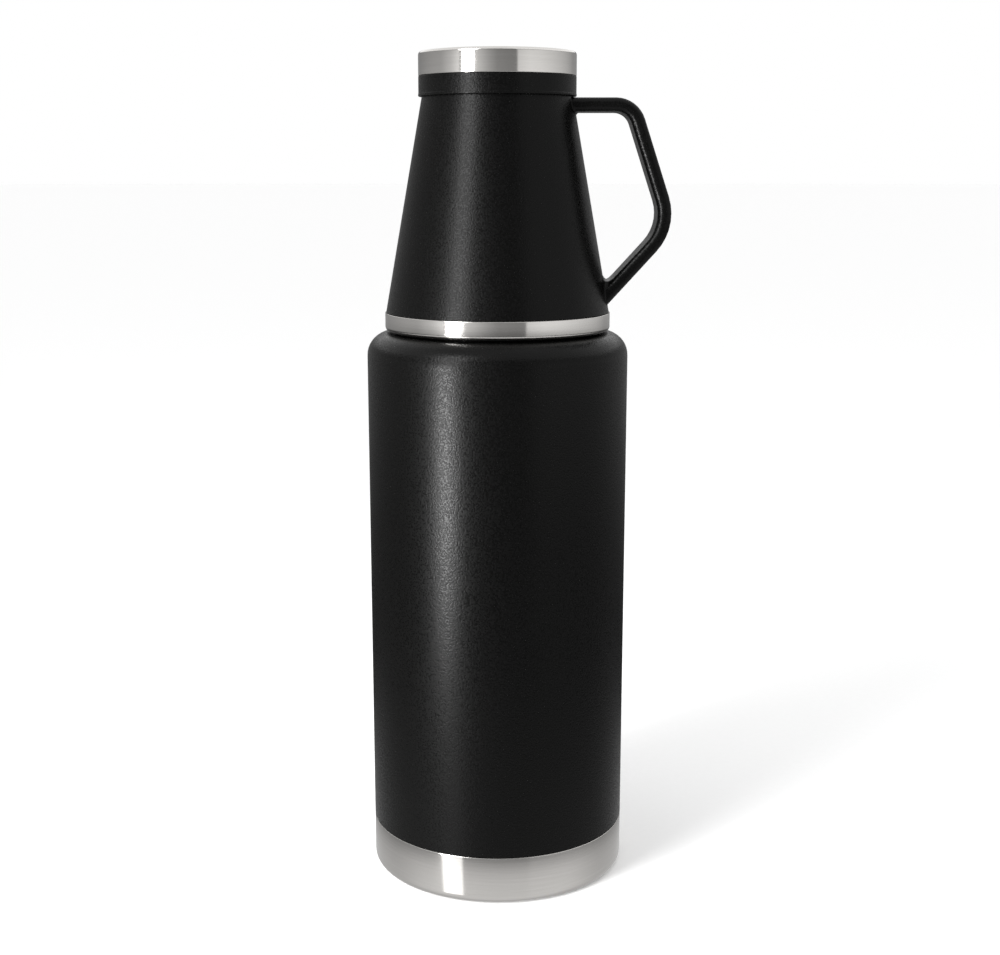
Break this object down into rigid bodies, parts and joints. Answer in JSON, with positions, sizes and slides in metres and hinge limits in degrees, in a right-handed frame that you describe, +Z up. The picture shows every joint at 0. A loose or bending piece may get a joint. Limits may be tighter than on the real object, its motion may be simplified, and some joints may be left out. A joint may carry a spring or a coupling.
{
  "type": "growler",
  "caption": "Tall double-walled steel growler with a matte coat, bare base band, screw stopper, and a conical handled mug stored upside down over its neck.",
  "frame": {"origin": "centre of the bottle's base, on the plane that it stands on; the middle of the base plate is 0.6 mm above it", "axes": "+Z up along the common axis of bottle, stopper and mug, +X towards the mug's handle"},
  "size_m": [0.1318, 0.1144, 0.3627],
  "materials": {
    "powder_coat": "matte black powder coat with a fine grain",
    "steel": "bare stainless steel, brushed round the axis",
    "silicone": "matte moulded silicone",
    "black_plastic": "fine moulded grain",
    "foam": "rigid insulating foam",
    "getter_alloy": "sintered pill",
    "solder": "smooth solidified bead"
  },
  "bodies": {
    "growler": {"growler_shell": "powder_coat", "growler_boss": "powder_coat", "growler_base_cup": "steel", "growler_liner": "steel", "growler_throat": "steel", "growler_liner_bottom": "steel", "growler_getter": "getter_alloy", "growler_getter_cup": "steel", "growler_vacuum_seal": "solder", "growler_base_disc": "steel"},
    "grip_ring": {"mug_grip_ring": "silicone"},
    "mug": {"mug_shell": "powder_coat", "mug_base_cup": "powder_coat", "mug_liner": "steel", "mug_rim_band": "steel", "mug_getter": "getter_alloy", "mug_getter_cup": "steel", "mug_vacuum_seal": "solder", "mug_base_disc": "steel", "mug_handle": "powder_coat"},
    "gasket": {"stopper_gasket": "silicone"},
    "stopper": {"stopper_cap": "black_plastic", "stopper_plug": "black_plastic", "stopper_foam": "foam", "stopper_steel_disc": "steel", "stopper_top_inlay": "steel"}
  },
  "joints": [
    {"name": "mug_turn", "type": "hinge", "parent": "growler", "child": "grip_ring", "pos_m": [0, 0, 0.2486], "axis": [0, 0, 1], "continuous": true},
    {"name": "mug_lift", "type": "slide", "parent": "grip_ring", "child": "mug", "axis": [0, 0, 1], "range_m": [0, 0.11]},
    {"name": "stopper_rise", "type": "slide", "parent": "growler", "child": "gasket", "axis": [0, 0, 1], "range_m": [0, 0.0105]},
    {"name": "stopper_turn", "type": "hinge", "parent": "gasket", "child": "stopper", "pos_m": [0, 0, 0.2809], "axis": [0, 0, 1], "range_deg": [0, 630]}
  ],
  "couplings": [
    {"joint": "stopper_rise", "follows": "stopper_turn", "m_per_rad": 0.00095493}
  ]
}
